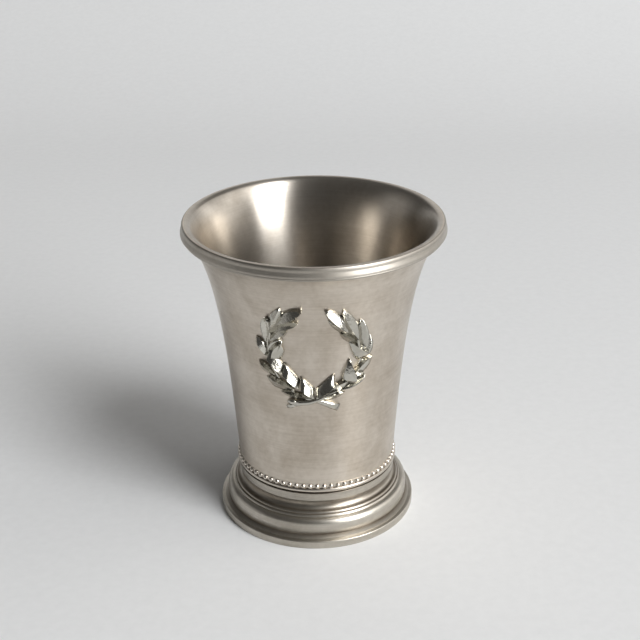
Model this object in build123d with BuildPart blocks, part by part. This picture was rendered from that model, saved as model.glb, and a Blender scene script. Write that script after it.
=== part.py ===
from build123d import *
import math
import os

# Pewter measure: a bell-mouthed cup on a turned foot, with a laurel wreath applied to its front.
# Millimetres, +Z up. The origin is the centre of the face that the foot rests on, and the
# wreath faces -Y. Every profile is drawn as (radius, height) and turned about the Z axis.
# Heights are stacked from the table up, and radii are stepped from piece to piece.

# Foot flange: the cast ring that the measure stands on
flange_seat_height = 1.0
flange_collar_rise = 1.7
flange_edge_height = 1.9
flange_edge_round = 0.3
flange_foot_round = 0.25
flange_projection = 1.7
flange_ledge = 0.6
flange_step_inset = 0.85
flange_step_rise = 0.14

# Foot moulding: a plain collar, a cove, a shelf of two fine reeds and a rounded torus
torus_quirk = 0.4
torus_height = 3.4
torus_shoulder = 1.45
torus_bulge = 0.05
skirt_inset = 0.05
shelf_height = 1.1
shelf_width = 1.05
reed_count = 2
reed_rise = 0.1
cove_height = 2.3
cove_depth = 0.45
cove_neck_share = 0.42
cove_step = 0.25
cove_spread = 0.5
collar_height = 2.1
collar_taper = 0.2
collar_projection = 0.6
foot_wall = 1.0
foot_seat_width = 4.1

# Body: a spun cup, straight-sided below and flared like a bell above
body_wall = 1.2
body_foot_radius = 18.44
body_foot_lean_share = 0.095
body_foot_handle = 10.4
body_height = 55.65
body_flare_radius = 29.0
body_flare_lean_share = 1.4
body_flare_handle = 9.8
land_height = 2.45
land_depth = 0.34
lip_flat_width = 0.3
lip_round = 1.8
lip_lean_share = 0.9

# Cup floor: a disc let into a rebate at the lower end of the body
floor_thickness = 1.2
floor_ledge = 0.3

# Rim band round the outside of the mouth: an upright foot, a side that leans in, an upright
# fillet and a rounded shoulder up to the lip
band_thickness = 0.7
band_foot_height = 0.4
band_face_height = 0.9
band_lean = 0.3
band_fillet_height = 0.3
band_shoulder_height = 0.7

# Rim wire: a thin round wire in the corner under the band
wire_radius = 0.36
wire_inset = 0.03

# Beaded wire: a row of beads over a plain strip, round the foot of the body
bead_count = 72
bead_radius = 0.62
bead_seat = 0.26
bead_top_gap = 0.05
bead_core_width = 0.4
strip_groove = 0.35
strip_height = 1.02
strip_width = 0.85
strip_edge_round = 0.12

# Wreath: two cast laurel sprays whose stems cross below
wreath_radius = 12.2
wreath_rise = 34.35
leaf_relief = 2.1
leaf_edge_height = 0.12
leaf_sink = 0.7
leaf_root_overlap = 0.5
stem_relief = 1.0
stem_width = 1.9

# Along a leaf of each shape: the place of a cross-section as a share of the leaf's length, then
# shares of its width, of its fold's height and of its lift
leaf_section_shares = {
    "pointed": [
        (0.00, 0.30, 0.40, 0.00),
        (0.14, 0.60, 0.68, 0.16),
        (0.36, 0.90, 0.95, 0.45),
        (0.60, 1.00, 1.00, 0.74),
        (0.82, 0.77, 0.96, 0.95),
        (1.00, 0.14, 0.40, 0.95),
    ],
    "blunt": [
        (0.00, 0.85, 0.70, 0.20),
        (0.16, 0.95, 0.88, 0.45),
        (0.34, 1.00, 0.97, 0.70),
        (0.60, 1.00, 1.00, 0.90),
        (0.90, 0.95, 1.00, 1.00),
        (1.04, 0.90, 0.04, 0.00),
    ],
    "tipped": [
        (0.00, 0.40, 0.50, 0.00),
        (0.15, 0.70, 0.80, 0.30),
        (0.36, 0.94, 0.97, 0.65),
        (0.62, 1.00, 1.00, 1.00),
        (0.78, 0.80, 0.68, 0.70),
        (1.00, 0.14, 0.08, 0.00),
    ],
    "drooping": [
        (0.00, 0.35, 0.50, 0.40),
        (0.12, 0.62, 0.84, 0.80),
        (0.26, 0.85, 1.00, 1.00),
        (0.52, 1.00, 0.88, 0.80),
        (0.78, 0.80, 0.60, 0.48),
        (1.00, 0.14, 0.14, 0.12),
    ],
    "falling": [
        (0.00, 0.70, 0.70, 0.00),
        (0.14, 0.94, 0.92, 0.60),
        (0.26, 1.00, 1.00, 1.00),
        (0.50, 0.78, 0.76, 0.80),
        (0.75, 0.42, 0.44, 0.50),
        (1.00, 0.12, 0.12, 0.10),
    ],
}

# Each leaf as shares of the wreath's radius: its root across and up from the wreath's centre,
# its tip across and up, and its width. Then the place of its fold as a share of half its width,
# to the right of its middle, the fold's height and the lift of its tip as shares of the relief
# (a fold below zero is a groove), and the slant of its ends as a share of its width. The first
# leaf of each spray is the one at its end.
left_leaf_shares = [
    (-0.72, 0.64, -0.20, 0.99, 0.22, 0.50, 0.71, 0.14, 0.00, "pointed"),
    (-0.79, 0.42, -0.55, 1.00, 0.22, 0.10, 0.67, 0.14, 0.00, "tipped"),
    (-0.77, 0.50, -0.27, 0.72, 0.16, 0.40, 0.57, 0.14, 0.00, "pointed"),
    (-0.83, 0.20, -0.81, 0.77, 0.15, 0.10, -0.43, 0.14, 0.00, "pointed"),
    (-0.82, 0.28, -0.46, 0.55, 0.17, 0.40, 0.57, 0.14, 0.00, "pointed"),
    (-0.86, -0.08, -1.06, 0.31, 0.20, 0.10, 0.62, 0.14, 0.00, "tipped"),
    (-0.86, -0.02, -0.58, 0.32, 0.18, 0.30, -0.40, 0.14, 0.00, "pointed"),
    (-0.76, -0.20, -0.60, 0.22, 0.22, -0.60, 0.60, 0.14, 0.00, "pointed"),
    (-0.58, -0.33, -0.84, 0.01, 0.19, -0.50, 0.79, 0.14, 0.90, "blunt"),
    (-0.76, -0.45, -1.09, -0.21, 0.19, 0.50, 0.62, 0.14, 0.00, "tipped"),
    (-0.30, -0.60, -0.58, -0.28, 0.18, -0.50, 0.76, 0.19, 0.90, "blunt"),
    (-0.40, -0.72, -0.95, -0.52, 0.23, 0.50, 0.62, 0.14, 0.00, "tipped"),
    (-0.02, -0.79, -0.28, -0.56, 0.21, -0.50, 0.76, 0.19, 0.85, "blunt"),
    (-0.05, -0.88, -0.67, -0.79, 0.15, 0.30, 0.45, 0.12, 0.00, "tipped"),
]
right_leaf_shares = [
    (0.62, 0.48, 0.15, 0.99, 0.21, -0.50, 0.71, 0.33, 0.00, "drooping"),
    (0.63, 0.44, 0.21, 0.77, 0.17, -0.10, 0.57, 0.29, 0.00, "drooping"),
    (0.78, 0.26, 0.44, 0.96, 0.20, -0.55, 0.76, 0.38, 0.00, "drooping"),
    (0.80, 0.18, 0.41, 0.49, 0.16, 0.00, 0.52, 0.14, 0.00, "pointed"),
    (0.81, 0.02, 0.77, 0.70, 0.19, -0.20, -0.62, 0.38, 0.00, "drooping"),
    (0.84, -0.06, 0.95, 0.36, 0.17, -0.30, -0.57, 0.33, 0.00, "drooping"),
    (0.89, -0.10, 0.58, 0.28, 0.27, 0.45, 0.71, 0.48, 0.00, "falling"),
    (0.66, -0.55, 1.06, -0.12, 0.25, -0.70, 0.57, 0.10, 0.00, "pointed"),
    (0.60, -0.60, 0.61, -0.10, 0.24, 0.75, 0.86, 0.48, 0.00, "falling"),
    (0.46, -0.71, 0.93, -0.46, 0.19, 0.50, -0.40, 0.12, 0.00, "pointed"),
    (0.10, -0.84, 0.70, -0.54, 0.22, -0.70, 0.48, 0.07, 0.00, "pointed"),
    (0.00, -0.80, 0.34, -0.52, 0.22, 0.50, 0.76, 0.14, -0.80, "blunt"),
    (0.06, -0.91, 0.55, -0.78, 0.15, -0.40, 0.40, 0.12, 0.00, "pointed"),
]

# Each stem's line in the same shares, from its cut end below to its last leaf, with shares of
# the stem's relief and width. The right stem rides over the left one, and its cut end splits
# into two lobes.
left_stem_shares = [
    (0.43, -1.11, 0.70, 1.00),
    (0.30, -1.05, 0.75, 0.84),
    (0.08, -0.96, 0.75, 0.58),
    (-0.18, -0.88, 0.65, 0.44),
    (-0.41, -0.77, 0.53, 0.40),
    (-0.66, -0.56, 0.46, 0.38),
    (-0.81, -0.30, 0.44, 0.36),
    (-0.87, -0.02, 0.47, 0.34),
    (-0.84, 0.24, 0.45, 0.32),
    (-0.78, 0.50, 0.40, 0.29),
    (-0.70, 0.68, 0.34, 0.25),
]
right_stem_shares = [
    (-0.44, -1.01, 0.80, 0.89),
    (-0.30, -0.99, 0.90, 0.65),
    (-0.12, -0.96, 1.05, 0.58),
    (0.06, -0.90, 1.00, 0.55),
    (0.35, -0.77, 0.60, 0.44),
    (0.56, -0.62, 0.48, 0.40),
    (0.72, -0.44, 0.46, 0.38),
    (0.84, -0.16, 0.49, 0.36),
    (0.81, 0.16, 0.45, 0.32),
    (0.71, 0.38, 0.40, 0.29),
    (0.60, 0.54, 0.34, 0.25),
]
upper_lobe_shares = [
    (-0.36, -1.00, 0.80, 0.63),
    (-0.45, -0.98, 0.85, 0.69),
    (-0.54, -0.97, 0.66, 0.38),
]
lower_lobe_shares = [
    (-0.38, -1.01, 0.80, 0.63),
    (-0.48, -1.06, 0.85, 0.69),
    (-0.56, -1.09, 0.66, 0.38),
]


# Heights of the stack
flange_collar_height = flange_seat_height + flange_collar_rise
torus_bottom_height = flange_collar_height + torus_quirk
shelf_outer_height = torus_bottom_height + torus_height
cove_foot_height = shelf_outer_height + shelf_height
collar_foot_height = cove_foot_height + cove_height
foot_top_height = collar_foot_height + collar_height
land_top_height = foot_top_height + land_height
band_bottom_height = land_top_height + body_height
band_face_bottom_height = band_bottom_height + band_foot_height
band_face_top_height = band_face_bottom_height + band_face_height
band_fillet_top_height = band_face_top_height + band_fillet_height
lip_height = band_fillet_top_height + band_shoulder_height

# Radii, from the foot of the body inwards and outwards
land_radius = body_foot_radius - land_depth
inner_foot_radius = body_foot_radius - body_wall
floor_radius = inner_foot_radius + floor_ledge
foot_window_radius = land_radius - foot_seat_width
collar_top_radius = land_radius + collar_projection
collar_foot_radius = collar_top_radius - collar_taper
cove_top_radius = collar_foot_radius - cove_step
cove_neck_radius = collar_foot_radius - cove_depth
cove_foot_radius = collar_foot_radius + cove_spread
shelf_outer_radius = cove_foot_radius + shelf_width
torus_radius = shelf_outer_radius + torus_shoulder
skirt_radius = torus_radius - skirt_inset
skirt_inner_radius = skirt_radius - foot_wall
flange_radius = torus_radius + flange_projection
flange_bore_radius = skirt_inner_radius - flange_ledge
band_outer_radius = body_flare_radius + band_thickness
band_fillet_radius = band_outer_radius - band_lean


# The body's outer line is one Bezier curve, from the land for the beads to the rim band
def leaned(start, lean_share, length):
    """The point at a length from start, leaning outwards by that share of its rise."""
    rise = length / math.hypot(lean_share, 1)
    return (start[0] + lean_share * rise, start[1] + rise)


body_foot_point = (body_foot_radius, land_top_height)
body_flare_point = (body_flare_radius, band_bottom_height)
body_foot_control = leaned(body_foot_point, body_foot_lean_share, body_foot_handle)
body_flare_control = leaned(body_flare_point, body_flare_lean_share, -body_flare_handle)
body_line_points = [body_foot_point, body_foot_control, body_flare_control, body_flare_point]


def body_line_at(share):
    """Radius and height of the body's outer line at a share of its Bezier parameter."""
    rest = 1 - share
    weights = [rest**3, 3 * rest**2 * share, 3 * rest * share**2, share**3]
    radius = sum(weight * point[0] for weight, point in zip(weights, body_line_points))
    height = sum(weight * point[1] for weight, point in zip(weights, body_line_points))
    return radius, height


def body_radius_at(height):
    """Outer radius of the body at a height, found by halving the curve's parameter range."""
    low, high = 0.0, 1.0
    for _ in range(40):
        middle = (low + high) / 2
        if body_line_at(middle)[1] < height:
            low = middle
        else:
            high = middle
    return body_line_at(low)[0]


# The body's inner line runs up to the round of the lip, which turns it level
floor_top_height = foot_top_height + floor_thickness
lip_flat_radius = body_flare_radius - lip_flat_width
inner_foot_point = (inner_foot_radius, land_top_height)
inner_foot_control = (body_foot_control[0] - body_wall, body_foot_control[1])
lip_round_centre = (lip_flat_radius, lip_height - lip_round)
lip_turn = math.degrees(math.atan(1 / lip_lean_share))
inner_flare_point = (
    lip_round_centre[0] - lip_round * math.sin(math.radians(lip_turn)),
    lip_round_centre[1] + lip_round * math.cos(math.radians(lip_turn)),
)
inner_flare_control = leaned(inner_flare_point, lip_lean_share, -body_flare_handle)

# Body shell, with the rebate for the floor and the land for the beaded wire at its lower end
with BuildPart() as body_shell:
    with BuildSketch(Plane.XZ):
        with BuildLine():
            Polyline(
                (floor_radius, foot_top_height),
                (land_radius, foot_top_height),
                (land_radius, land_top_height),
                body_foot_point,
            )
            Bezier(*body_line_points)
            Polyline(
                body_flare_point,
                (body_flare_radius, lip_height),
                (lip_flat_radius, lip_height),
            )
            CenterArc(lip_round_centre, lip_round, start_angle=90, arc_size=lip_turn)
            Bezier(inner_flare_point, inner_flare_control, inner_foot_control, inner_foot_point)
            Polyline(
                inner_foot_point,
                (inner_foot_radius, floor_top_height),
                (floor_radius, floor_top_height),
                (floor_radius, foot_top_height),
            )
        make_face()
    revolve(axis=Axis.Z)

# Cup floor
with BuildPart() as bottom_disc:
    with BuildSketch(Plane.XY.offset(foot_top_height)):
        Circle(floor_radius)
    extrude(amount=floor_thickness)

# The body's outer shape as one filled solid, which the pieces soldered to it are cut to fit
with BuildPart() as body_envelope:
    with BuildSketch(Plane.XZ):
        with BuildLine():
            Polyline(
                (0, foot_top_height),
                (land_radius, foot_top_height),
                (land_radius, land_top_height),
                body_foot_point,
            )
            Bezier(*body_line_points)
            Polyline(
                body_flare_point,
                (body_flare_radius, lip_height),
                (0, lip_height),
                (0, foot_top_height),
            )
        make_face()
    revolve(axis=Axis.Z)

# Rim band
with BuildPart() as rim_band:
    with BuildSketch(Plane.XZ):
        with BuildLine():
            Polyline(
                (body_flare_radius, band_bottom_height),
                (band_outer_radius, band_bottom_height),
                (band_outer_radius, band_face_bottom_height),
                (band_fillet_radius, band_face_top_height),
                (band_fillet_radius, band_fillet_top_height),
            )
            EllipticalCenterArc(
                (body_flare_radius, band_fillet_top_height),
                band_fillet_radius - body_flare_radius,
                band_shoulder_height,
                start_angle=0,
                arc_size=90,
            )
            Line((body_flare_radius, lip_height), (body_flare_radius, band_bottom_height))
        make_face()
    revolve(axis=Axis.Z)

# Rim wire, its round section cut by the body's outer line where it lies against the flare
with BuildPart() as rim_wire:
    with BuildSketch(Plane.XZ):
        with Locations((body_flare_radius - wire_inset, band_bottom_height - wire_radius)):
            Circle(wire_radius)
        with BuildLine():
            Bezier(*body_line_points)
            Polyline(
                body_flare_point,
                (0, band_bottom_height),
                (0, land_top_height),
                body_foot_point,
            )
        make_face(mode=Mode.SUBTRACT)
    revolve(axis=Axis.Z)

# Beaded wire: the core and the plain strip are one ring, which the beads stand on
strip_bottom_height = foot_top_height + strip_groove
strip_top_height = strip_bottom_height + strip_height
bead_centre_height = land_top_height - bead_top_gap - bead_radius
with BuildPart() as beaded_wire:
    with BuildSketch(Plane.XZ) as strip_profile:
        with BuildLine():
            Polyline(
                (land_radius, strip_bottom_height),
                (land_radius + strip_width, strip_bottom_height),
                (land_radius + strip_width, strip_top_height),
                (land_radius + bead_core_width, strip_top_height),
                (land_radius + bead_core_width, land_top_height),
                (land_radius, land_top_height),
                (land_radius, strip_bottom_height),
            )
        make_face()
        fillet(strip_profile.vertices().group_by(Axis.X)[-1], strip_edge_round)
    revolve(axis=Axis.Z)
    with PolarLocations(land_radius + bead_seat, bead_count):
        with Locations((0, 0, bead_centre_height)):
            Sphere(bead_radius)
    add(body_envelope.part, mode=Mode.SUBTRACT)

# Foot moulding: the outside from the top down, then the inside back up
reed_run = shelf_width / reed_count
reed_fall = shelf_height / reed_count
cove_neck_height = cove_foot_height + cove_height * cove_neck_share
torus_side_height = shelf_outer_height - torus_shoulder
torus_middle_height = (torus_side_height + torus_bottom_height) / 2
with BuildPart() as foot_moulding:
    with BuildSketch(Plane.XZ):
        with BuildLine():
            Polyline(
                (foot_window_radius, foot_top_height),
                (collar_top_radius, foot_top_height),
                (collar_foot_radius, collar_foot_height),
                (cove_top_radius, collar_foot_height),
            )
            ThreePointArc(
                (cove_top_radius, collar_foot_height),
                (cove_neck_radius, cove_neck_height),
                (cove_foot_radius, cove_foot_height),
            )
            for reed in range(reed_count):
                reed_start = (cove_foot_radius + reed * reed_run, cove_foot_height - reed * reed_fall)
                reed_end = (reed_start[0] + reed_run, reed_start[1] - reed_fall)
                reed_crown = (
                    (reed_start[0] + reed_end[0]) / 2 + reed_rise,
                    (reed_start[1] + reed_end[1]) / 2 + reed_rise,
                )
                ThreePointArc(reed_start, reed_crown, reed_end)
            CenterArc(
                (shelf_outer_radius, torus_side_height),
                torus_shoulder,
                start_angle=0,
                arc_size=90,
            )
            ThreePointArc(
                (torus_radius, torus_side_height),
                (torus_radius + torus_bulge, torus_middle_height),
                (skirt_radius, torus_bottom_height),
            )
            Polyline(
                (skirt_radius, torus_bottom_height),
                (skirt_radius, flange_seat_height),
                (skirt_inner_radius, flange_seat_height),
                (skirt_inner_radius, torus_side_height),
                (shelf_outer_radius - foot_wall, shelf_outer_height - foot_wall),
                (cove_foot_radius - foot_wall, cove_foot_height - foot_wall),
            )
            ThreePointArc(
                (cove_foot_radius - foot_wall, cove_foot_height - foot_wall),
                (cove_neck_radius - foot_wall, cove_neck_height - foot_wall / 2),
                (collar_top_radius - foot_wall, foot_top_height - foot_wall),
            )
            Polyline(
                (collar_top_radius - foot_wall, foot_top_height - foot_wall),
                (foot_window_radius, foot_top_height - foot_wall),
                (foot_window_radius, foot_top_height),
            )
        make_face()
    revolve(axis=Axis.Z)

# Foot flange, with a counterbore that the skirt of the moulding stands in
flange_step_radius = flange_radius - flange_step_inset
with BuildPart() as foot_flange:
    with BuildSketch(Plane.XZ) as flange_profile:
        with BuildLine():
            Polyline(
                (flange_bore_radius, 0),
                (flange_radius, 0),
                (flange_radius, flange_edge_height),
                (flange_step_radius, flange_edge_height + flange_step_rise),
                (flange_step_radius, flange_edge_height + flange_step_rise * 2),
                (skirt_radius, flange_collar_height),
                (skirt_radius, flange_seat_height),
                (flange_bore_radius, flange_seat_height),
                (flange_bore_radius, 0),
            )
        make_face()
        edge_corners = flange_profile.vertices().group_by(Axis.X)[-1].sort_by(Axis.Y)
        fillet(edge_corners[-1], flange_edge_round)
        foot_corners = flange_profile.vertices().group_by(Axis.Y)[0].sort_by(Axis.X)
        fillet(foot_corners[-1], flange_foot_round)
    revolve(axis=Axis.Z)


# Wreath. Across is measured along the body's surface from its middle, and up along the axis.
wreath_centre_height = land_top_height + wreath_rise


def wreath_place(across_share, up_share):
    """Point on the body's outside for a place in the wreath, and the way out from it."""
    height = wreath_centre_height + up_share * wreath_radius
    radius = body_radius_at(height)
    turn = across_share * wreath_radius / body_radius_at(wreath_centre_height)
    outward = Vector(math.sin(turn), -math.cos(turn), 0)
    return outward * radius + Vector(0, 0, height), outward


def along_plane(origin, direction, outward):
    """Plane square to a direction, with its Y axis pointing out of the body."""
    level_out = (outward - direction * outward.dot(direction)).normalized()
    return Plane(origin=origin, x_dir=level_out.cross(direction), z_dir=direction)


def laurel_leaf(shares):
    """One leaf: a folded blade that stands off the body along its edges."""
    root_across, root_up, tip_across, tip_up, width_share = shares[:5]
    fold_share, height_share, lift_share, slant_share, shape = shares[5:]
    length_share = math.hypot(tip_across - root_across, tip_up - root_up)
    back_share = leaf_root_overlap / (length_share * wreath_radius)
    root_across += (root_across - tip_across) * back_share
    root_up += (root_up - tip_up) * back_share
    root, root_out = wreath_place(root_across, root_up)
    tip, tip_out = wreath_place(tip_across, tip_up)
    direction = (tip - root).normalized()
    square = along_plane(root, direction, (root_out + tip_out).normalized())
    across = square.x_dir - direction * slant_share
    facing = across.cross(square.y_dir)
    width = width_share * wreath_radius * across.length
    fold_height = abs(height_share) * leaf_relief
    with BuildPart() as leaf:
        for place_share, breadth_share, ridge_share, rise_share in leaf_section_shares[shape]:
            origin, _ = wreath_place(
                root_across + (tip_across - root_across) * place_share,
                root_up + (tip_up - root_up) * place_share,
            )
            half = width * breadth_share / 2
            low = leaf_edge_height + lift_share * leaf_relief * rise_share
            high = low + fold_height * ridge_share
            edge, ridge = (low, high) if height_share > 0 else (high, low)
            with BuildSketch(Plane(origin=origin, x_dir=across, z_dir=facing)):
                Polygon(
                    (-half, -leaf_sink),
                    (half, -leaf_sink),
                    (half, edge),
                    (-half * fold_share, ridge),
                    (-half, edge),
                    align=None,
                )
        loft(ruled=True)
    return leaf.part


def laurel_stem(stem_shares):
    """A stem along its line, from its cut end to its last leaf."""
    places = [wreath_place(across, up) for across, up, _, _ in stem_shares]
    last = len(places) - 1
    with BuildPart() as stem:
        for index, (point, outward) in enumerate(places):
            before = places[max(index - 1, 0)][0]
            after = places[min(index + 1, last)][0]
            direction = (after - before).normalized()
            relief = stem_relief * stem_shares[index][2]
            width = stem_width * stem_shares[index][3]
            with BuildSketch(along_plane(point, direction, outward)):
                Polygon(
                    (-width / 2, -leaf_sink),
                    (width / 2, -leaf_sink),
                    (width / 2, relief / 2),
                    (width / 4, relief),
                    (-width / 4, relief),
                    (-width / 2, relief / 2),
                    align=None,
                )
        loft(ruled=True)
    return stem.part


left_pieces = [laurel_stem(left_stem_shares)]
left_pieces += [laurel_leaf(shares) for shares in left_leaf_shares]
right_pieces = [
    laurel_stem(shares) for shares in (right_stem_shares, upper_lobe_shares, lower_lobe_shares)
]
right_pieces += [laurel_leaf(shares) for shares in right_leaf_shares]

with BuildPart() as wreath_left_spray:
    add(left_pieces)
    add(body_envelope.part, mode=Mode.SUBTRACT)

# The right spray is halved over the left one where the stems cross
with BuildPart() as wreath_right_spray:
    add(right_pieces)
    add(body_envelope.part, mode=Mode.SUBTRACT)
    add(wreath_left_spray.part, mode=Mode.SUBTRACT)

nodes = {
    "body_shell": body_shell,
    "bottom_disc": bottom_disc,
    "rim_band": rim_band,
    "rim_wire": rim_wire,
    "beaded_wire": beaded_wire,
    "foot_moulding": foot_moulding,
    "foot_flange": foot_flange,
    "wreath_left_spray": wreath_left_spray,
    "wreath_right_spray": wreath_right_spray,
}
os.makedirs("parts", exist_ok=True)
for node_name, node in nodes.items():
    node.part.label = node_name
    export_step(node.part, f"parts/{node_name}.step")
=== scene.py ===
import math

import bpy
from mathutils import Matrix, Vector


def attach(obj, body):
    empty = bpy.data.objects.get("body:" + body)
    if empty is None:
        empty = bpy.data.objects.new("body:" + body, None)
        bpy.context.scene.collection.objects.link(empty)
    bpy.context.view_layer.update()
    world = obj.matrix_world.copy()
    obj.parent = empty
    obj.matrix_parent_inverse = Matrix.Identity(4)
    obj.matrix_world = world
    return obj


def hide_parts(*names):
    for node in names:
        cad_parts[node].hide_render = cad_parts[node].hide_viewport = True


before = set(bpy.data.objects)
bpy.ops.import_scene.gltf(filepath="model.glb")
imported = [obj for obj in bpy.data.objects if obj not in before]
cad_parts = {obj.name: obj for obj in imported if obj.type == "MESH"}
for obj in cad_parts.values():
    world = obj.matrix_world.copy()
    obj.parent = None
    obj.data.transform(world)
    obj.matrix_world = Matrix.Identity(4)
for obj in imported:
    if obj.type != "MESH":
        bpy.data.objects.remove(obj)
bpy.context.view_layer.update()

# Pewter measure on a pale sheet. Sizes are in millimetres, in the part's own frame, and places
# on it are (radius, height). MM turns them into metres.
MM = 0.001

scene = bpy.context.scene
scene.view_settings.view_transform = "Standard"

# Heights, from the table up
flange_seat = 1.0
flange_edge = 1.9
flange_step = 0.14
flange_collar = 2.7
torus_foot = 3.1
torus_side = 5.05
shelf_foot = 6.5
cove_foot = 7.6
collar_foot = 9.9
foot_top = 12.0
strip_foot = 12.35
floor_top = 13.2
strip_top = 13.37
land_top = 14.45
band_foot = 70.1
band_face_foot = 70.5
band_face_top = 71.4
band_fillet_top = 71.7
lip_height = 72.4

# Radii, from the inside out
window_radius = 14.0
inner_foot_radius = 17.24
floor_radius = 17.54
cove_neck_radius = 18.05
land_radius = 18.1
cove_top_radius = 18.25
body_foot_radius = 18.44
bead_core_radius = 18.5
collar_foot_radius = 18.5
collar_top_radius = 18.7
strip_radius = 18.95
cove_foot_radius = 19.0
flange_bore_radius = 19.85
shelf_radius = 20.05
skirt_inner_radius = 20.45
skirt_radius = 21.45
torus_radius = 21.5
flange_step_radius = 22.35
flange_radius = 23.2
lip_flat_radius = 28.7
body_flare_radius = 29.0
band_fillet_radius = 29.4
band_radius = 29.7

# Walls and small sizes
body_wall = 1.2
foot_wall = 1.0
lip_round = 1.8
reed_count = 2
reed_rise = 0.08
torus_bulge = 0.05
wire_radius = 0.36
wire_inset = 0.03
bead_count = 72
bead_radius = 0.62
bead_seat = 0.26
bead_top_gap = 0.05
strip_bulge = 0.4
cove_neck_share = 0.42

# Small rounds of single corners
band_foot_round = 0.1
band_face_round = 0.35
band_fillet_round = 0.28
collar_top_round = 0.12
collar_foot_round = 0.08
flange_foot_round = 0.25
flange_edge_round = 0.3

# The body's line: how far it leans outwards as a share of its rise, and its handles
foot_lean_share = 0.095
foot_handle = 10.4
flare_lean_share = 1.4
flare_handle = 9.8
lip_lean_share = 0.9


class Tree:
    """A small writer of shader nodes: every call adds one node and returns its output."""

    def __init__(self, tree):
        self.tree = tree

    def add(self, kind, **settings):
        node = self.tree.nodes.new(kind)
        for name, value in settings.items():
            setattr(node, name, value)
        return node

    def link(self, source, target):
        self.tree.links.new(source, target)

    def put(self, socket, value):
        if isinstance(value, bpy.types.NodeSocket):
            self.link(value, socket)
        else:
            socket.default_value = value

    def math(self, operation, a, b=0.0, c=0.0, clamp=False):
        node = self.add("ShaderNodeMath", operation=operation, use_clamp=clamp)
        for socket, value in zip(node.inputs, (a, b, c)):
            self.put(socket, value)
        return node.outputs[0]

    def scaled(self, vector, scale):
        node = self.add("ShaderNodeMapping")
        self.link(vector, node.inputs["Vector"])
        node.inputs["Scale"].default_value = scale
        return node.outputs[0]

    def noise(self, vector, scale=1.0, detail=2.0, roughness=0.5, distortion=0.0):
        node = self.add("ShaderNodeTexNoise")
        self.link(vector, node.inputs["Vector"])
        node.inputs["Scale"].default_value = scale
        node.inputs["Detail"].default_value = detail
        node.inputs["Roughness"].default_value = roughness
        node.inputs["Distortion"].default_value = distortion
        return node.outputs["Fac"]

    def range(self, value, low, high, to_low, to_high, smooth=False):
        node = self.add("ShaderNodeMapRange")
        if smooth:
            node.interpolation_type = "SMOOTHSTEP"
        self.put(node.inputs["Value"], value)
        node.inputs["From Min"].default_value = low
        node.inputs["From Max"].default_value = high
        node.inputs["To Min"].default_value = to_low
        node.inputs["To Max"].default_value = to_high
        return node.outputs["Result"]

    def mix(self, factor, a, b):
        node = self.add("ShaderNodeMix", data_type="RGBA")
        self.put(node.inputs["Factor"], factor)
        self.put(node.inputs[6], a)
        self.put(node.inputs[7], b)
        return node.outputs[2]


def new_material(name):
    material = bpy.data.materials.new(name)
    material.use_nodes = True
    tree = Tree(material.node_tree)
    shader = material.node_tree.nodes["Principled BSDF"]
    return material, tree, shader


# Pewter. Scales of noise are in cycles per metre, and shares, covers and tones are from 0 to 1.
# The turning lines hardly change along their run. On slanting walls a share of the radius counts
# as height, so that they stay fine there too. Broad lines are at a share of the fine ones' scale.
LINE_RUN_SCALE = 70.0
LINE_RADIUS_SHARE = 0.83
BROAD_SCALE_SHARE = 0.3
BROAD_SHARE = 0.35
FINE_SHARE = 0.65
# A quarter of a turn, so that highlights spread across the lines
LINE_TURN = 0.25
# Clouds of handling and wear, a fine grain over them, and the dents of a cast face
CLOUD_SCALE = 95.0
GRAIN_SCALE = 900.0
GRAIN_SHARE = 0.35
DENT_SCALE = 1500.0
MIDDLE_TONE = 0.62
WEAR_RANGE = 0.1
WEAR_POLISH = 0.12
# Few small dark specks, with the distances between which each fades out
SPECK_SCALE = 240.0
SPECK_FADE = (0.035, 0.08)
SPECK_RARITY = 0.93
SPECK_COVER = 0.45
SPECK_DEPTH_SHARE = 0.6
SPECK_ROUGHNESS = 0.2
# Brown in the grooves, partly dirt and partly painted shade in the recesses and under the bead
# strip, thinner where the clouds are low
DIRT_AND_SHADE_COVER = 0.85
DIRT_AND_SHADE_LEAST = 0.45
# Painted shade within the cup: a darker, more neutral grey for its inner faces
INSIDE_SHADE_GREY = (0.33, 0.335, 0.33, 1.0)
SPECK_BROWN = (0.16, 0.14, 0.12, 1.0)
DIRT_AND_SHADE_BROWN = (0.14, 0.105, 0.07, 1.0)


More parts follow.
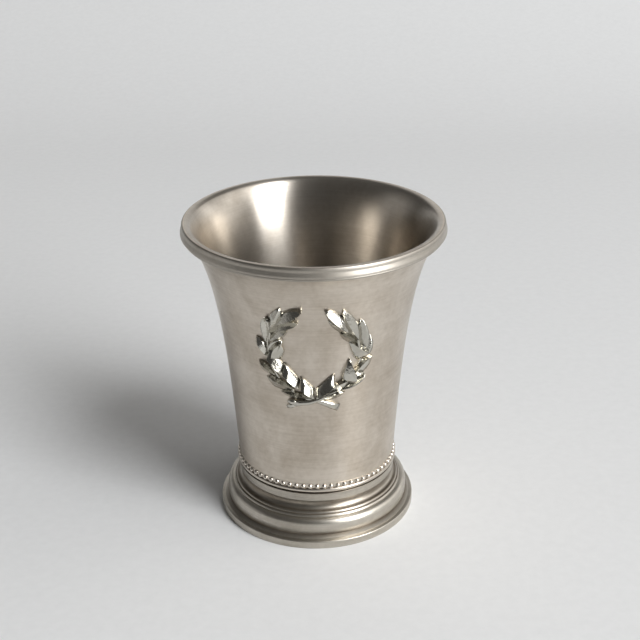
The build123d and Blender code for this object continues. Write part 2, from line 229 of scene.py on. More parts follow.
def pewter(
    name,
    bright,
    dull,
    roughness,
    anisotropy,
    line_pitch,
    line_depth,
    line_shade,
    mottle,
    hammer=0.0,
    inside_shade=0.0,
    grooves=(),
):
    """Worn pewter. Its fine turning lines run round the axis, and its tone wanders with handling.

    The lines' pitch and depth are in millimetres. Hammer is the height of dents as a multiple of
    the lines'. The inside share paints shade within the cup, as a darker grey on its inner faces.
    Grooves are (height, half width) in millimetres, painted brown, partly as dirty metal and
    partly as painted shade in the recesses and under the bead strip.
    """
    material, t, shader = new_material(name)
    where = t.add("ShaderNodeTexCoord").outputs["Object"]
    split = t.add("ShaderNodeSeparateXYZ")
    t.link(where, split.inputs[0])
    across = t.math("POWER", split.outputs[0], 2.0)
    radius = t.math("SQRT", t.math("ADD", across, t.math("POWER", split.outputs[1], 2.0)))
    along = t.math("MULTIPLY_ADD", radius, LINE_RADIUS_SHARE, split.outputs[2])
    turned = t.add("ShaderNodeCombineXYZ")
    t.link(t.math("MULTIPLY", split.outputs[0], LINE_RUN_SCALE), turned.inputs[0])
    t.link(t.math("MULTIPLY", split.outputs[1], LINE_RUN_SCALE), turned.inputs[1])
    t.link(t.math("MULTIPLY", along, 1 / (line_pitch * MM)), turned.inputs[2])
    fine = t.noise(turned.outputs[0], 1.0, 3.0, 0.65)
    broad = t.noise(turned.outputs[0], BROAD_SCALE_SHARE, 2.0, 0.55)
    lines = t.math("MULTIPLY_ADD", broad, BROAD_SHARE, t.math("MULTIPLY", fine, FINE_SHARE))
    cloud = t.noise(where, CLOUD_SCALE, 4.0, 0.6, 0.4)
    grain = t.noise(where, GRAIN_SCALE, 3.0, 0.6)
    streaks = t.range(lines, 0.35, 0.65, -line_shade, line_shade)
    tone = t.math("ADD", t.range(cloud, 0.3, 0.7, -mottle, mottle), streaks)
    freckle = GRAIN_SHARE * mottle
    tone = t.math("ADD", tone, t.range(grain, 0.3, 0.7, -freckle, freckle))
    worn = t.math("ADD", t.range(cloud, 0.3, 0.7, -WEAR_RANGE, WEAR_RANGE), streaks)
    spots = t.add("ShaderNodeTexVoronoi", feature="F1")
    t.link(t.scaled(where, (SPECK_SCALE, SPECK_SCALE, SPECK_SCALE)), spots.inputs["Vector"])
    specks = t.range(spots.outputs["Distance"], *SPECK_FADE, 1.0, 0.0)
    chosen = t.add("ShaderNodeTexWhiteNoise", noise_dimensions="3D")
    t.link(spots.outputs["Position"], chosen.inputs["Vector"])
    rare = t.math("GREATER_THAN", chosen.outputs["Value"], SPECK_RARITY)
    specks = t.math("MULTIPLY", specks, rare)
    # Painted shade: the cup's inner faces, found by their normals, get a share of darker grey
    if inside_shade:
        out = t.add("ShaderNodeVectorMath", operation="MULTIPLY")
        t.link(where, out.inputs[0])
        out.inputs[1].default_value = (1.0, 1.0, 0.0)
        turned_out = t.add("ShaderNodeVectorMath", operation="DOT_PRODUCT")
        t.link(out.outputs["Vector"], turned_out.inputs[0])
        t.link(t.add("ShaderNodeNewGeometry").outputs["True Normal"], turned_out.inputs[1])
        within = t.math("LESS_THAN", turned_out.outputs["Value"], 0.0)
    level = t.math("ADD", tone, MIDDLE_TONE, clamp=True)
    colour = t.mix(level, (*dull, 1.0), (*bright, 1.0))
    # Painted shade mixed into the colour on the inner faces
    if inside_shade:
        colour = t.mix(t.math("MULTIPLY", within, inside_shade), colour, INSIDE_SHADE_GREY)
    colour = t.mix(t.math("MULTIPLY", specks, SPECK_COVER), colour, SPECK_BROWN)
    # Brown painted along the grooves: partly dirt, partly painted shade in the recesses
    for groove, half_width in grooves:
        off = t.math("ABSOLUTE", t.math("SUBTRACT", split.outputs[2], groove * MM))
        dirt_and_shade = t.range(off, 0.0, half_width * MM, DIRT_AND_SHADE_COVER, 0.0, smooth=True)
        dirt_and_shade = t.math("MULTIPLY", dirt_and_shade, t.range(cloud, 0.3, 0.65, DIRT_AND_SHADE_LEAST, 1.0))
        colour = t.mix(dirt_and_shade, colour, DIRT_AND_SHADE_BROWN)
    t.link(colour, shader.inputs["Base Color"])
    shader.inputs["Metallic"].default_value = 1.0
    rough = t.math("MULTIPLY_ADD", worn, -WEAR_POLISH, roughness)
    rough = t.math("ADD", rough, t.math("MULTIPLY", specks, SPECK_ROUGHNESS), clamp=True)
    t.link(rough, shader.inputs["Roughness"])
    shader.inputs["Anisotropic"].default_value = anisotropy
    if anisotropy:
        shader.inputs["Anisotropic Rotation"].default_value = LINE_TURN
        tangent = t.add("ShaderNodeTangent", direction_type="RADIAL", axis="Z")
        t.link(tangent.outputs[0], shader.inputs["Tangent"])
    height = t.math("SUBTRACT", lines, t.math("MULTIPLY", specks, SPECK_DEPTH_SHARE))
    if hammer:
        dents = t.noise(where, DENT_SCALE, 2.0, 0.55)
        height = t.math("MULTIPLY_ADD", dents, hammer, height)
    bump = t.add("ShaderNodeBump")
    bump.inputs["Strength"].default_value = 1.0
    bump.inputs["Distance"].default_value = line_depth * MM
    t.link(height, bump.inputs["Height"])
    t.link(bump.outputs[0], shader.inputs["Normal"])
    return material


BRUSHED = pewter(
    "pewter_brushed",
    bright=(0.67, 0.607, 0.53),
    dull=(0.465, 0.40, 0.325),
    roughness=0.31,
    anisotropy=0.76,
    line_pitch=0.2,
    line_depth=0.0016,
    line_shade=0.16,
    mottle=0.42,
    # A share of painted shade on the cup's inner faces
    inside_shade=0.3,
    # Painted shade in the gap under the bead strip
    grooves=[(foot_top + 0.2, 0.4)],
)
BAND = pewter(
    "pewter_band",
    bright=(0.51, 0.475, 0.425),
    dull=(0.33, 0.295, 0.25),
    roughness=0.44,
    anisotropy=0.3,
    line_pitch=0.2,
    line_depth=0.004,
    line_shade=0.2,
    mottle=0.25,
)
BEAD = pewter(
    "pewter_bead",
    bright=(0.70, 0.65, 0.58),
    dull=(0.46, 0.405, 0.34),
    roughness=0.30,
    anisotropy=0.0,
    line_pitch=0.3,
    line_depth=0.004,
    line_shade=0.1,
    mottle=0.16,
    # Painted shade under the bead strip and along its top
    grooves=[(strip_foot, 0.25), (strip_top - 0.02, 0.22)],
)
TURNED = pewter(
    "pewter_turned",
    bright=(0.58, 0.545, 0.485),
    dull=(0.36, 0.325, 0.275),
    roughness=0.38,
    anisotropy=0.3,
    line_pitch=0.24,
    line_depth=0.006,
    line_shade=0.25,
    mottle=0.3,
    # Brown in the foot's grooves and cove: partly dirt, partly painted shade
    grooves=[
        (flange_collar + 0.1, 0.7),
        ((shelf_foot + cove_foot) / 2, 0.3),
        (cove_foot, 0.45),
        (cove_foot + 1.2, 1.5),
        (foot_top + 0.1, 0.5),
    ],
)
CAST = pewter(
    "pewter_cast",
    bright=(0.68, 0.66, 0.60),
    dull=(0.36, 0.34, 0.29),
    roughness=0.17,
    anisotropy=0.0,
    line_pitch=0.5,
    line_depth=0.02,
    line_shade=0.05,
    mottle=0.3,
    hammer=3.0,
)


# Turned pieces
AROUND = 384
CORNER_STEPS = 6
CREASE_DEGREES = 28


def eased(outline):
    """Replaces each (radius, height, round) corner of a closed outline by a small curve."""
    points = []
    count = len(outline)
    for i, item in enumerate(outline):
        here = Vector(item[:2])
        if len(item) < 3:
            points.append(here)
            continue
        before = Vector(outline[i - 1][:2]) - here
        after = Vector(outline[(i + 1) % count][:2]) - here
        reach = min(item[2], before.length * 0.45, after.length * 0.45)
        start = here + before.normalized() * reach
        end = here + after.normalized() * reach
        for k in range(CORNER_STEPS + 1):
            s = k / CORNER_STEPS
            points.append(start * (1 - s) ** 2 + here * 2 * s * (1 - s) + end * s**2)
    return points


def arc(centre, across, upright, start, sweep, steps):
    """Points of an elliptical arc, with angles in degrees from the outward direction."""
    points = []
    for k in range(steps + 1):
        a = math.radians(start + sweep * k / steps)
        points.append((centre[0] + across * math.cos(a), centre[1] + upright * math.sin(a)))
    return points


def three_point_arc(a, b, c, steps):
    """Points of the circular arc from a through b to c, without a itself."""
    ax, ay, bx, by, cx, cy = *a, *b, *c
    d = 2 * (ax * (by - cy) + bx * (cy - ay) + cx * (ay - by))
    aa, bb, cc = ax**2 + ay**2, bx**2 + by**2, cx**2 + cy**2
    ux = (aa * (by - cy) + bb * (cy - ay) + cc * (ay - by)) / d
    uy = (aa * (cx - bx) + bb * (ax - cx) + cc * (bx - ax)) / d
    radius = math.hypot(ax - ux, ay - uy)
    start = math.atan2(ay - uy, ax - ux)
    sweep = (math.atan2(cy - uy, cx - ux) - start) % math.tau
    if (math.atan2(by - uy, bx - ux) - start) % math.tau > sweep:
        sweep -= math.tau
    points = []
    for k in range(1, steps + 1):
        a = start + sweep * k / steps
        points.append((ux + radius * math.cos(a), uy + radius * math.sin(a)))
    return points


def bezier_point(points, s):
    weights = ((1 - s) ** 3, 3 * s * (1 - s) ** 2, 3 * s * s * (1 - s), s**3)
    return tuple(sum(w * p[i] for w, p in zip(weights, points)) for i in (0, 1))


def bezier(points, steps):
    return [bezier_point(points, k / steps) for k in range(steps + 1)]


def without_repeats(points, least=1e-4):
    kept = []
    for p in points:
        p = Vector(p[:2])
        if not kept or (p - kept[-1]).length > least:
            kept.append(p)
    if (kept[0] - kept[-1]).length < least:
        kept.pop()
    return kept


def anticlockwise(points):
    area = sum(a.x * b.y - b.x * a.y for a, b in zip(points, points[1:] + points[:1]))
    return points if area > 0 else points[::-1]


def mark_sharp(mesh, is_sharp):
    """Keeps the edges crisp for which is_sharp(vertex, vertex) holds."""
    attribute = mesh.attributes.new("sharp_edge", "BOOLEAN", "EDGE")
    attribute.data.foreach_set("value", [is_sharp(*e.vertices) for e in mesh.edges])


def turned_mesh(name, outline):
    """Turns a closed outline of (radius, height) points about the axis."""
    points = anticlockwise(without_repeats(eased(outline)))
    verts, rings = [], []
    ring_of = []
    for i, p in enumerate(points):
        places = 1 if p.x < 1e-6 else AROUND
        rings.append([len(verts) + k % places for k in range(AROUND)])
        for k in range(places):
            a = math.tau * k / AROUND
            verts.append((p.x * MM * math.sin(a), -p.x * MM * math.cos(a), p.y * MM))
            ring_of.append(i)
    faces = []
    for i, low in enumerate(rings):
        high = rings[(i + 1) % len(rings)]
        if low[0] == low[1] and high[0] == high[1]:
            continue
        for k in range(AROUND):
            k2 = (k + 1) % AROUND
            faces.append(tuple(dict.fromkeys((low[k], low[k2], high[k2], high[k]))))
    mesh = bpy.data.meshes.new(name)
    mesh.from_pydata(verts, [], faces)
    mesh.polygons.foreach_set("use_smooth", [True] * len(mesh.polygons))
    sharp_rings = set()
    for i, p in enumerate(points):
        turn = (p - points[i - 1]).angle(points[(i + 1) % len(points)] - p)
        if math.degrees(turn) > CREASE_DEGREES:
            sharp_rings.add(i)
    mark_sharp(mesh, lambda a, b: ring_of[a] == ring_of[b] and ring_of[a] in sharp_rings)
    return mesh


def piece(name, mesh, material, node):
    obj = bpy.data.objects.new(name, mesh)
    scene.collection.objects.link(obj)
    mesh.materials.append(material)
    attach(obj, "root")
    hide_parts(node)
    return obj


def turned_piece(name, outline, material, node):
    return piece(name, turned_mesh(name, outline), material, node)


def leaned(start, lean_share, length):
    """The point at a length from start, leaning outwards by that share of its rise."""
    rise = length / math.hypot(lean_share, 1)
    return (start[0] + lean_share * rise, start[1] + rise)


body_foot_point = (body_foot_radius, land_top)
body_flare_point = (body_flare_radius, band_foot)
outer_line = [
    body_foot_point,
    leaned(body_foot_point, foot_lean_share, foot_handle),
    leaned(body_flare_point, flare_lean_share, -flare_handle),
    body_flare_point,
]
lip_turn = math.degrees(math.atan(1 / lip_lean_share))
lip_round_centre = (lip_flat_radius, lip_height - lip_round)
lip_line = arc(lip_round_centre, lip_round, lip_round, 90, lip_turn, 24)
inner_flare_point = lip_line[-1]
inner_line = [
    inner_flare_point,
    leaned(inner_flare_point, lip_lean_share, -flare_handle),
    (outer_line[1][0] - body_wall, outer_line[1][1]),
    (inner_foot_radius, land_top),
]


def body_radius_at(height):
    """Outer radius of the body at a height, found by halving the curve's parameter range."""
    low, high = 0.0, 1.0
    for _ in range(40):
        middle = (low + high) / 2
        if bezier_point(outer_line, middle)[1] < height:
            low = middle
        else:
            high = middle
    return bezier_point(outer_line, low)[0]


def cup_body():
    outline = [(floor_radius, foot_top), (land_radius, foot_top), (land_radius, land_top)]
    outline += bezier(outer_line, 90)
    outline += [(body_flare_radius, lip_height)]
    outline += lip_line
    outline += bezier(inner_line, 90)[1:]
    outline += [(inner_foot_radius, floor_top), (floor_radius, floor_top)]
    turned_piece("cup_body", outline, BRUSHED, "body_shell")


def cup_floor():
    outline = [(0, foot_top), (floor_radius, foot_top), (floor_radius, floor_top), (0, floor_top)]
    turned_piece("cup_floor", outline, BRUSHED, "bottom_disc")


def rim_strip():
    shoulder = (body_flare_radius, band_fillet_top)
    outline = [
        (body_flare_radius, band_foot),
        (band_radius, band_foot, band_foot_round),
        (band_radius, band_face_foot, band_face_round),
        (band_fillet_radius, band_face_top, band_fillet_round),
    ]
    width = band_fillet_radius - body_flare_radius
    outline += arc(shoulder, width, lip_height - band_fillet_top, 0, 90, 16)
    turned_piece("rim_strip", outline, BAND, "rim_band")


def rim_wire_round():
    """The wire's section, pressed flat where it lies on the flare."""
    centre = (body_flare_radius - wire_inset, band_foot - wire_radius)
    outline = []
    for radius, height in arc(centre, wire_radius, wire_radius, 0, 360, 40):
        flare = body_flare_radius - flare_lean_share * (band_foot - height)
        outline.append((max(radius, min(flare, radius + wire_radius)), height))
    turned_piece("rim_wire_round", outline, BAND, "rim_wire")


def foot_mould():
    neck = (cove_neck_radius, cove_foot + cove_neck_share * (collar_foot - cove_foot))
    cove_end = (cove_foot_radius, cove_foot)
    outline = [
        (window_radius, foot_top),
        (collar_top_radius, foot_top, collar_top_round),
        (collar_foot_radius, collar_foot, collar_foot_round),
        (cove_top_radius, collar_foot),
    ]
    outline += three_point_arc((cove_top_radius, collar_foot), neck, cove_end, 32)
    run = (shelf_radius - cove_foot_radius) / reed_count
    fall = (cove_foot - shelf_foot) / reed_count
    for reed in range(reed_count):
        start = (cove_foot_radius + reed * run, cove_foot - reed * fall)
        end = (start[0] + run, start[1] - fall)
        crown = ((start[0] + end[0]) / 2 + reed_rise, (start[1] + end[1]) / 2 + reed_rise)
        outline += three_point_arc(start, crown, end, 10)
    shoulder = torus_radius - shelf_radius
    outline += arc((shelf_radius, torus_side), shoulder, shoulder, 90, -90, 24)
    middle = (torus_radius + torus_bulge, (torus_side + torus_foot) / 2)
    outline += three_point_arc((torus_radius, torus_side), middle, (skirt_radius, torus_foot), 16)
    outline += [
        (skirt_radius, flange_seat),
        (skirt_inner_radius, flange_seat),
        (skirt_inner_radius, torus_side),
        (shelf_radius - foot_wall, shelf_foot - foot_wall),
        (cove_foot_radius - foot_wall, cove_foot - foot_wall),
    ]
    outline += three_point_arc(
        (cove_foot_radius - foot_wall, cove_foot - foot_wall),
        (cove_neck_radius - foot_wall, neck[1] - foot_wall / 2),
        (collar_top_radius - foot_wall, foot_top - foot_wall),
        20,
    )
    outline += [(window_radius, foot_top - foot_wall)]
    turned_piece("foot_mould", outline, TURNED, "foot_moulding")


def foot_ring():
    outline = [
        (flange_bore_radius, 0),
        (flange_radius, 0, flange_foot_round),
        (flange_radius, flange_edge, flange_edge_round),
        (flange_step_radius, flange_edge + flange_step),
        (flange_step_radius, flange_edge + flange_step * 2),
        (skirt_radius, flange_collar),
        (skirt_radius, flange_seat),
        (flange_bore_radius, flange_seat),
    ]
    turned_piece("foot_ring", outline, TURNED, "foot_flange")


def bead_strip():
    centre = (strip_radius - strip_bulge, (strip_foot + strip_top) / 2)
    outline = [(land_radius, strip_foot)]
    outline += arc(centre, strip_bulge, (strip_top - strip_foot) / 2, -90, 180, 16)
    outline += [
        (bead_core_radius, strip_top),
        (bead_core_radius, land_top),
        (land_radius, land_top),
    ]
    turned_piece("bead_strip", outline, BEAD, "beaded_wire")


def bead_row():
    """The beads, as spheres round the core, each in rows from pole to pole and columns around."""
    rows, columns = 14, 20
    verts, faces = [], []
    reach = land_radius + bead_seat
    for n in range(bead_count):
        turn = math.tau * n / bead_count
        out = Vector((math.sin(turn), -math.cos(turn), 0))
        side = Vector((math.cos(turn), math.sin(turn), 0))
        centre = out * reach + Vector((0, 0, land_top - bead_top_gap - bead_radius))
        base = len(verts)
        for i in range(1, rows):
            polar = math.pi * i / rows
            for j in range(columns):
                around = math.tau * j / columns
                d = (out * math.cos(around) + side * math.sin(around)) * math.sin(polar)
                d.z = math.cos(polar)
                verts.append((centre + d * bead_radius) * MM)
        top, bottom = len(verts), len(verts) + 1
        verts += [(centre + Vector((0, 0, h))) * MM for h in (bead_radius, -bead_radius)]
        last = base + (rows - 2) * columns
        for j in range(columns):
            j2 = (j + 1) % columns
            faces.append((top, base + j, base + j2))
            faces.append((last + j, bottom, last + j2))
            for i in range(rows - 2):
                a, b = base + i * columns, base + (i + 1) * columns
                faces.append((a + j, b + j, b + j2, a + j2))
    mesh = bpy.data.meshes.new("bead_row")
    mesh.from_pydata(verts, [], faces)
    mesh.polygons.foreach_set("use_smooth", [True] * len(faces))
    piece("bead_row", mesh, BEAD, "beaded_wire")


cup_body()
cup_floor()
rim_strip()
rim_wire_round()
foot_mould()
foot_ring()
bead_strip()
bead_row()


# Wreath. Places on it are shares of its radius, across and up from its centre. Across is
# measured along the body's surface, and heights off the surface are in millimetres.
WREATH_RADIUS = 12.2
WREATH_HEIGHT = 48.8
wreath_body_radius = body_radius_at(WREATH_HEIGHT)

# Each leaf: root across and up, tip across and up, width, then where its fold lies between its
# left edge at -1 and its right edge at 1, seen from the root. Two heights in millimetres follow,
# of the fold over the edges (below nought for a groove) and of the tip's edge, then the leaf's
# shape and the slant of its ends.
LEFT_LEAVES = [
    (-0.72, 0.64, -0.20, 0.99, 0.22, 0.5, 1.50, 0.30, "pointed", 0.0),
    (-0.79, 0.42, -0.55, 1.00, 0.22, 0.1, 1.40, 0.30, "tipped", 0.0),
    (-0.77, 0.50, -0.27, 0.72, 0.16, 0.4, 1.20, 0.30, "pointed", 0.0),
    (-0.83, 0.20, -0.81, 0.77, 0.15, 0.1, -0.90, 0.30, "pointed", 0.0),
    (-0.82, 0.28, -0.46, 0.55, 0.17, 0.4, 1.20, 0.30, "pointed", 0.0),
    (-0.86, -0.08, -1.06, 0.31, 0.20, 0.1, 1.30, 0.30, "tipped", 0.0),
    (-0.86, -0.02, -0.58, 0.32, 0.18, 0.3, -0.85, 0.30, "pointed", 0.0),
    (-0.76, -0.20, -0.60, 0.22, 0.22, -0.6, 1.25, 0.30, "pointed", 0.0),
    (-0.58, -0.33, -0.84, 0.01, 0.19, -0.5, 1.65, 0.30, "blunt", 0.9),
    (-0.76, -0.45, -1.09, -0.21, 0.19, 0.5, 1.30, 0.30, "tipped", 0.0),
    (-0.30, -0.60, -0.58, -0.28, 0.18, -0.5, 1.60, 0.40, "blunt", 0.9),
    (-0.40, -0.72, -0.95, -0.52, 0.23, 0.5, 1.30, 0.30, "tipped", 0.0),
    (-0.02, -0.79, -0.28, -0.56, 0.21, -0.5, 1.60, 0.40, "blunt", 0.85),
    (-0.05, -0.88, -0.67, -0.79, 0.15, 0.3, 0.95, 0.25, "tipped", 0.0),
]
RIGHT_LEAVES = [
    (0.62, 0.48, 0.15, 0.99, 0.21, -0.5, 1.50, 0.70, "drooping", 0.0),
    (0.63, 0.44, 0.21, 0.77, 0.17, -0.1, 1.20, 0.60, "drooping", 0.0),
    (0.78, 0.26, 0.44, 0.96, 0.20, -0.55, 1.60, 0.80, "drooping", 0.0),
    (0.80, 0.18, 0.41, 0.49, 0.16, 0.0, 1.10, 0.30, "pointed", 0.0),
    (0.81, 0.02, 0.77, 0.70, 0.19, -0.2, -1.30, 0.80, "drooping", 0.0),
    (0.84, -0.06, 0.95, 0.36, 0.17, -0.3, -1.20, 0.70, "drooping", 0.0),
    (0.89, -0.10, 0.58, 0.28, 0.27, 0.45, 1.50, 1.00, "falling", 0.0),
    (0.66, -0.55, 1.06, -0.12, 0.25, -0.7, 1.20, 0.20, "pointed", 0.0),
    (0.60, -0.60, 0.61, -0.10, 0.24, 0.75, 1.80, 1.00, "falling", 0.0),
    (0.46, -0.71, 0.93, -0.46, 0.19, 0.5, -0.85, 0.25, "pointed", 0.0),
    (0.10, -0.84, 0.70, -0.54, 0.22, -0.7, 1.00, 0.15, "pointed", 0.0),
    (0.00, -0.80, 0.34, -0.52, 0.22, 0.5, 1.60, 0.30, "blunt", -0.8),
    (0.06, -0.91, 0.55, -0.78, 0.15, -0.4, 0.85, 0.25, "pointed", 0.0),
]

# Each stem's line, from its cut end below to its last leaf, with the height of its middle and
# its half width in millimetres
LEFT_STEM = [
    (0.43, -1.11, 0.30, 0.95),
    (0.30, -1.05, 0.35, 0.80),
    (0.08, -0.96, 0.35, 0.55),
    (-0.18, -0.88, 0.25, 0.42),
    (-0.41, -0.77, 0.15, 0.38),
    (-0.66, -0.56, 0.10, 0.36),
    (-0.81, -0.30, 0.10, 0.34),
    (-0.87, -0.02, 0.15, 0.32),
    (-0.84, 0.24, 0.15, 0.30),
    (-0.78, 0.50, 0.12, 0.28),
    (-0.70, 0.68, 0.10, 0.24),
]
RIGHT_STEM = [
    (-0.44, -1.01, 0.40, 0.85),
    (-0.30, -0.99, 0.50, 0.62),
    (-0.12, -0.96, 0.65, 0.55),
    (0.06, -0.90, 0.60, 0.52),
    (0.35, -0.77, 0.20, 0.42),
    (0.56, -0.62, 0.10, 0.38),
    (0.72, -0.44, 0.10, 0.36),
    (0.84, -0.16, 0.15, 0.34),
    (0.81, 0.16, 0.15, 0.30),
    (0.71, 0.38, 0.12, 0.28),
    (0.60, 0.54, 0.10, 0.24),
]
# The right stem's cut end splits into two short lobes
LOBES = [
    [(-0.36, -1.00, 0.40, 0.60), (-0.45, -0.98, 0.45, 0.66), (-0.54, -0.97, 0.30, 0.36)],
    [(-0.38, -1.01, 0.40, 0.60), (-0.48, -1.06, 0.45, 0.66), (-0.56, -1.09, 0.30, 0.36)],
]

# Along a leaf of each shape: the place of a cross-section, then shares of the leaf's width, of
# its fold and of its rise
LEAF_SHARES = {
    "pointed": [
        (0.00, 0.30, 0.40, 0.00),
        (0.12, 0.56, 0.66, 0.14),
        (0.26, 0.79, 0.88, 0.32),
        (0.42, 0.94, 0.98, 0.52),
        (0.58, 1.00, 1.00, 0.72),
        (0.71, 0.94, 1.00, 0.86),
        (0.82, 0.77, 0.96, 0.95),
        (0.91, 0.53, 0.82, 1.00),
        (0.97, 0.28, 0.58, 1.00),
        (1.00, 0.10, 0.34, 0.95),
    ],
    "blunt": [
        (0.00, 0.85, 0.70, 0.20),
        (0.16, 0.95, 0.88, 0.45),
        (0.34, 1.00, 0.97, 0.70),
        (0.60, 1.00, 1.00, 0.90),
        (0.90, 0.95, 1.00, 1.00),
        (1.04, 0.90, 0.04, 0.00),
    ],
    "tipped": [
        (0.00, 0.40, 0.50, 0.00),
        (0.15, 0.70, 0.80, 0.30),
        (0.36, 0.94, 0.97, 0.65),
        (0.58, 1.00, 1.00, 1.00),
        (0.66, 0.98, 0.96, 1.00),
        (0.78, 0.80, 0.68, 0.70),
        (0.90, 0.48, 0.34, 0.35),
        (1.00, 0.10, 0.05, 0.00),
    ],
    "drooping": [
        (0.00, 0.35, 0.50, 0.40),
        (0.12, 0.62, 0.84, 0.80),
        (0.26, 0.85, 1.00, 1.00),
        (0.45, 1.00, 0.94, 0.88),
        (0.62, 0.96, 0.80, 0.70),
        (0.78, 0.80, 0.60, 0.48),
        (0.90, 0.52, 0.38, 0.28),
        (1.00, 0.12, 0.12, 0.12),
    ],
    "falling": [
        (0.00, 0.70, 0.70, 0.00),
        (0.14, 0.94, 0.92, 0.60),
        (0.26, 1.00, 1.00, 1.00),
        (0.50, 0.78, 0.76, 0.80),
        (0.75, 0.42, 0.44, 0.50),
        (1.00, 0.06, 0.10, 0.10),
    ],
}
FACET_STEPS = 3
LEAF_EDGE_HEIGHT = 0.12
WREATH_SINK = 0.5


def off_body(across, up, height):
    """Point at a height off the body's outside, for a place in the wreath."""
    level = WREATH_HEIGHT + up * WREATH_RADIUS
    turn = across * WREATH_RADIUS / wreath_body_radius
    radius = body_radius_at(level) + height
    return Vector((radius * math.sin(turn), -radius * math.cos(turn), level)) * MM


def leaf_section(fold_place, fold_height):
    """Across a leaf, from its left edge: places from -1 to 1, with their heights over the edges."""
    section = []
    for k in range(-FACET_STEPS, FACET_STEPS + 1):
        s = k / FACET_STEPS
        side = fold_place + s * (1 - fold_place if s > 0 else 1 + fold_place)
        over = fold_height * (1 - abs(s))
        section.append((side, over if fold_height > 0 else -fold_height * abs(s)))
    return section


def add_leaf(verts, faces, kinds, leaf):
    """One leaf as a closed blade, sunk into the body below. Kinds tell its crisp lines apart."""
    root, tip = Vector(leaf[0:2]), Vector(leaf[2:4])
    width, fold_place, fold_height, tip_height, shape, slant = leaf[4:]
    ahead = (tip - root).normalized()
    left = Vector((-ahead.y, ahead.x)) - ahead * slant
    base = len(verts)
    section = leaf_section(fold_place, fold_height)
    rows = LEAF_SHARES[shape]
    for place, breadth, fold_share, rise_share in rows:
        middle = root.lerp(tip, place)
        edge = LEAF_EDGE_HEIGHT + tip_height * rise_share
        for k, (side, over) in enumerate(section):
            spot = middle - left * (side * width * breadth / 2)
            verts.append(off_body(spot.x, spot.y, edge + over * fold_share))
            kinds.append("fold" if k == FACET_STEPS else "top")
        for side in (1, -1):
            spot = middle - left * (side * width * breadth / 2)
            verts.append(off_body(spot.x, spot.y, -WREATH_SINK))
            kinds.append("foot")
    ring = len(section) + 2
    for i in range(len(rows) - 1):
        a, b = base + i * ring, base + (i + 1) * ring
        for j in range(ring):
            j2 = (j + 1) % ring
            faces.append((a + j, a + j2, b + j2, b + j))
    last = base + (len(rows) - 1) * ring
    faces.append(tuple(base + j for j in reversed(range(ring))))
    faces.append(tuple(last + j for j in range(ring)))


STEM_SIDES = 12
STEM_DEPTH = 0.4


def add_stem(verts, faces, kinds, stem):
    """A round stem along its line, with both ends closed flat."""
    places = [off_body(across, up, height) for across, up, height, _ in stem]
    outs = [Vector((p.x, p.y, 0)).normalized() for p in places]
    base = len(verts)
    for i, (place, out) in enumerate(zip(places, outs)):
        ahead = (places[min(i + 1, len(places) - 1)] - places[max(i - 1, 0)]).normalized()
        side = ahead.cross(out).normalized()
        half = stem[i][3] * MM
        depth = min(half, STEM_DEPTH * MM)
        for k in range(STEM_SIDES):
            a = math.tau * k / STEM_SIDES
            verts.append(place + side * half * math.cos(a) + out * depth * math.sin(a))
            kinds.append("top")
    for i in range(len(places) - 1):
        a, b = base + i * STEM_SIDES, base + (i + 1) * STEM_SIDES
        for k in range(STEM_SIDES):
            k2 = (k + 1) % STEM_SIDES
            faces.append((a + k, b + k, b + k2, a + k2))
    last = base + (len(places) - 1) * STEM_SIDES
    faces.append(tuple(base + k for k in range(STEM_SIDES)))
    faces.append(tuple(last + k for k in reversed(range(STEM_SIDES))))


def spray(name, leaves, stems, node):
    verts, faces, kinds = [], [], []
    for stem in stems:
        add_stem(verts, faces, kinds, stem)
    for leaf in leaves:
        add_leaf(verts, faces, kinds, leaf)
    mesh = bpy.data.meshes.new(name)
    mesh.from_pydata(verts, [], faces)
    mesh.polygons.foreach_set("use_smooth", [True] * len(faces))
    mark_sharp(mesh, lambda a, b: kinds[a] == kinds[b] == "fold")
    piece(name, mesh, CAST, node)


spray("left_spray", LEFT_LEAVES, [LEFT_STEM], "wreath_left_spray")
spray("right_spray", RIGHT_LEAVES, [RIGHT_STEM, *LOBES], "wreath_right_spray")


# Paper sweep, in metres
PAPER_REACH = 12.0
PAPER_RISE_START = 0.28
PAPER_RISE_END = 0.98
PAPER_RISE = 0.30
PAPER_RISE_STEPS = 24


def paper():
    material, t, shader = new_material("paper")
    place = t.add("ShaderNodeTexCoord").outputs["Object"]
    fibres = t.range(t.noise(place, 420.0, 4.0, 0.6), 0.3, 0.7, 0.0, 1.0)
    colour = t.mix(fibres, (0.775, 0.78, 0.785, 1.0), (0.805, 0.81, 0.815, 1.0))
    t.link(colour, shader.inputs["Base Color"])
    shader.inputs["Roughness"].default_value = 0.9
    shader.inputs["Specular IOR Level"].default_value = 0.2
    return material


def paper_sweep():
    """A flat sheet that rises behind the measure. Its profile is (distance behind, height)."""
    profile = [(-PAPER_REACH, 0.0), (-0.6, 0.0), (0.0, 0.0), (PAPER_RISE_START, 0.0)]
    for k in range(1, PAPER_RISE_STEPS + 1):
        s = k / PAPER_RISE_STEPS
        height = PAPER_RISE * s * s * (3 - 2 * s)
        profile.append((PAPER_RISE_START + (PAPER_RISE_END - PAPER_RISE_START) * s, height))
    profile.append((PAPER_REACH, PAPER_RISE))
    verts, faces = [], []
    for i, (y, z) in enumerate(profile):
        verts += [(-PAPER_REACH, y, z), (PAPER_REACH, y, z)]
        if i:
            faces.append((2 * i - 2, 2 * i - 1, 2 * i + 1, 2 * i))
    mesh = bpy.data.meshes.new("paper_sweep")
    mesh.from_pydata(verts, [], faces)
    mesh.polygons.foreach_set("use_smooth", [True] * len(faces))
    mesh.materials.append(paper())
    sweep = bpy.data.objects.new("paper_sweep", mesh)
    scene.collection.objects.link(sweep)


paper_sweep()


# Light
def toward(azimuth, elevation):
    """Direction from the object: azimuth 0 is towards the camera, and 90 is to its right."""
    a, e = math.radians(azimuth), math.radians(elevation)
    return Vector((math.sin(a) * math.cos(e), -math.cos(a) * math.cos(e), math.sin(e)))


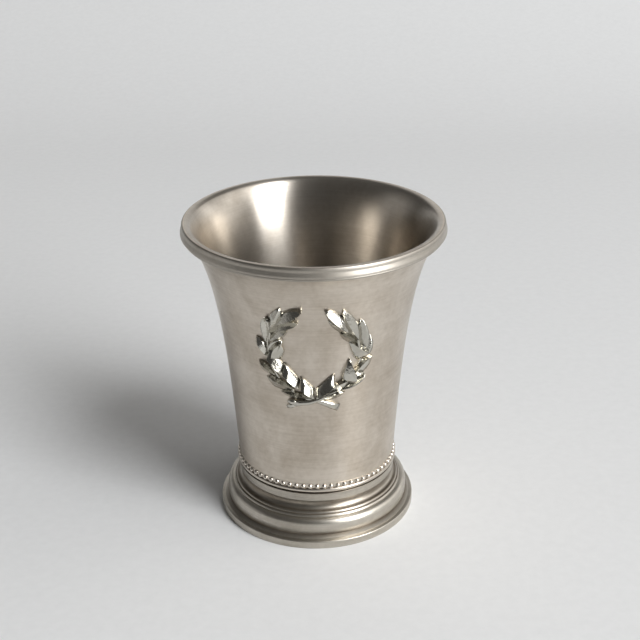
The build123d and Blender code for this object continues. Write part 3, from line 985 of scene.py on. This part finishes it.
def window(name, azimuth, distance, foot, width, height, strength, colour):
    """An upright rectangular lamp, as a window, with lengths in metres and an angle in degrees.

    Its strength is the brightness of its face.
    """
    data = bpy.data.lights.new(name, "AREA")
    data.shape = "RECTANGLE"
    data.size, data.size_y = width, height
    data.energy = strength * math.pi * width * height
    data.color = colour
    obj = bpy.data.objects.new(name, data)
    scene.collection.objects.link(obj)
    direction = toward(azimuth, 0)
    obj.location = direction * distance + Vector((0, 0, foot + height / 2))
    obj.rotation_mode = "QUATERNION"
    obj.rotation_quaternion = direction.to_track_quat("Z", "Y")


window(
    "key",
    azimuth=48,
    distance=1.3,
    foot=0.12,
    width=0.66,
    height=2.3,
    strength=8.4,
    colour=(0.985, 0.995, 1.0),
)

world = bpy.data.worlds.new("room")
scene.world = world
world.use_nodes = True
w = Tree(world.node_tree)
background = world.node_tree.nodes["Background"]
direction = w.add("ShaderNodeTexCoord").outputs["Generated"]


def glow(azimuth, elevation, width, level):
    """A soft patch of the room: its level at the centre, fading to nothing at the given width."""
    dot = w.add("ShaderNodeVectorMath", operation="DOT_PRODUCT")
    w.link(direction, dot.inputs[0])
    dot.inputs[1].default_value = toward(azimuth, elevation)
    edge = math.cos(math.radians(width))
    return w.range(dot.outputs["Value"], edge, 1.0, 0.0, level, smooth=True)


# Patches of the room: azimuth, elevation and width in degrees, then the level at the centre
ROOM_LEVEL = 0.075
GLOWS = [
    (108, 8, 40, 1.1),
    (57, 42, 25, 1.8),
    (88, 36, 23, 1.2),
    (132, 10, 18, 0.9),
    (163, 19, 22, 0.6),
    (-172, 27, 17, 0.7),
    (-92, 4, 30, 0.4),
    (0, 90, 50, 0.06),
]
room = ROOM_LEVEL
for patch in GLOWS:
    room = w.math("ADD", room, glow(*patch))
background.inputs["Color"].default_value = (1.0, 0.985, 0.96, 1.0)
w.link(room, background.inputs["Strength"])

# Camera. Its angles are in radians, its place and clips in metres, and its lens in millimetres.
CAMERA_PLACE = (0.0, -0.2627, 0.1708)
CAMERA_LENS = 70.82
yaw, pitch, roll = 0.00449, 0.43973, -0.01137
forward = Vector(
    (math.sin(yaw) * math.cos(pitch), math.cos(yaw) * math.cos(pitch), -math.sin(pitch))
)
level = Vector((math.cos(yaw), -math.sin(yaw), 0))
upward = level.cross(forward)
right = level * math.cos(roll) + upward * math.sin(roll)
up = upward * math.cos(roll) - level * math.sin(roll)
camera_data = bpy.data.cameras.new("camera")
camera_data.lens = CAMERA_LENS
camera_data.sensor_width = 36.0
camera_data.clip_start = 0.02
camera_data.clip_end = 20.0
camera = bpy.data.objects.new("camera", camera_data)
scene.collection.objects.link(camera)
turn = Matrix((right, up, -forward)).transposed().to_4x4()
camera.matrix_world = Matrix.Translation(CAMERA_PLACE) @ turn
scene.camera = camera
